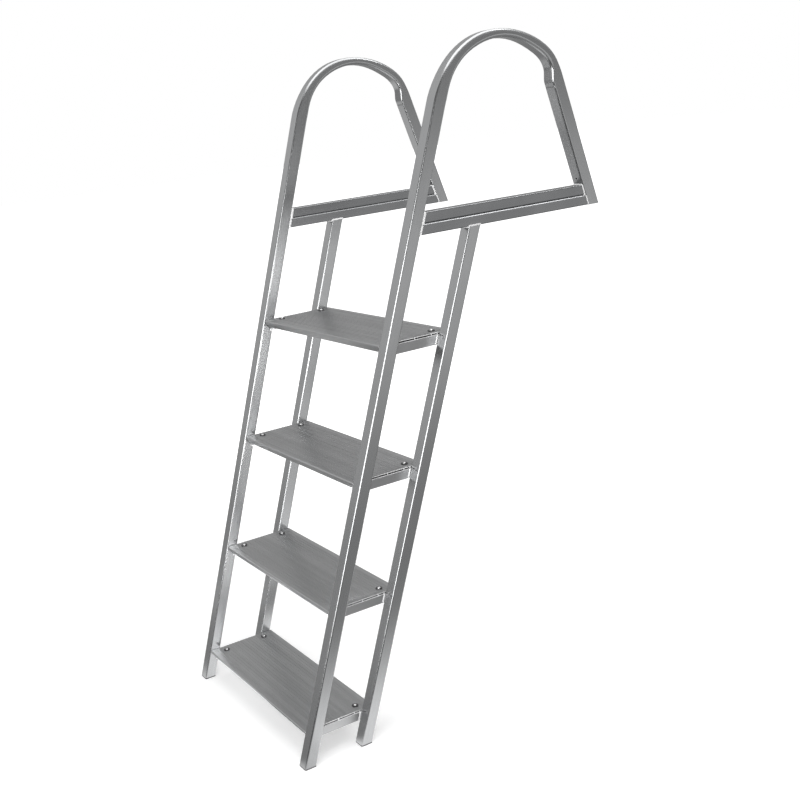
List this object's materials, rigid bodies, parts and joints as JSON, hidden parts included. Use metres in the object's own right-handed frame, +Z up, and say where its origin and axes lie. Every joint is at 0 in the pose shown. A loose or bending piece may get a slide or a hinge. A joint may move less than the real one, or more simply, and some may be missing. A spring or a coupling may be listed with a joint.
{
  "type": "dock ladder",
  "caption": "Leaning aluminium dock ladder with level hollow treads, hoop handrails bent from one square tube each, and rails that lie on the dock.",
  "frame": {"origin": "on the underside of the right-hand dock rail, in the middle of the length that lies on the dock and centred across the rail", "axes": "+X to the right side seen from the water, +Y from the water towards the dock, +Z up; the dock surface is Z = 0 and the steps hang below it"},
  "size_m": [0.6096, 0.964, 1.6229],
  "materials": {
    "tube": "satin",
    "rail": "satin",
    "tread": "satin",
    "support": "satin",
    "plug": "matte"
  },
  "bodies": {
    "root": {"handrail_stile_right": "tube", "rear_stile_right": "tube", "dock_rail_right": "rail", "foot_plug_front_right": "plug", "foot_plug_rear_right": "plug", "tread_support_right_1": "support", "tread_support_right_2": "support", "tread_support_right_3": "support", "tread_support_right_4": "support", "handrail_stile_left": "tube", "rear_stile_left": "tube", "dock_rail_left": "rail", "foot_plug_front_left": "plug", "foot_plug_rear_left": "plug", "tread_support_left_1": "support", "tread_support_left_2": "support", "tread_support_left_3": "support", "tread_support_left_4": "support", "tread_1": "tread", "tread_2": "tread", "tread_3": "tread", "tread_4": "tread"}
  },
  "joints": []
}
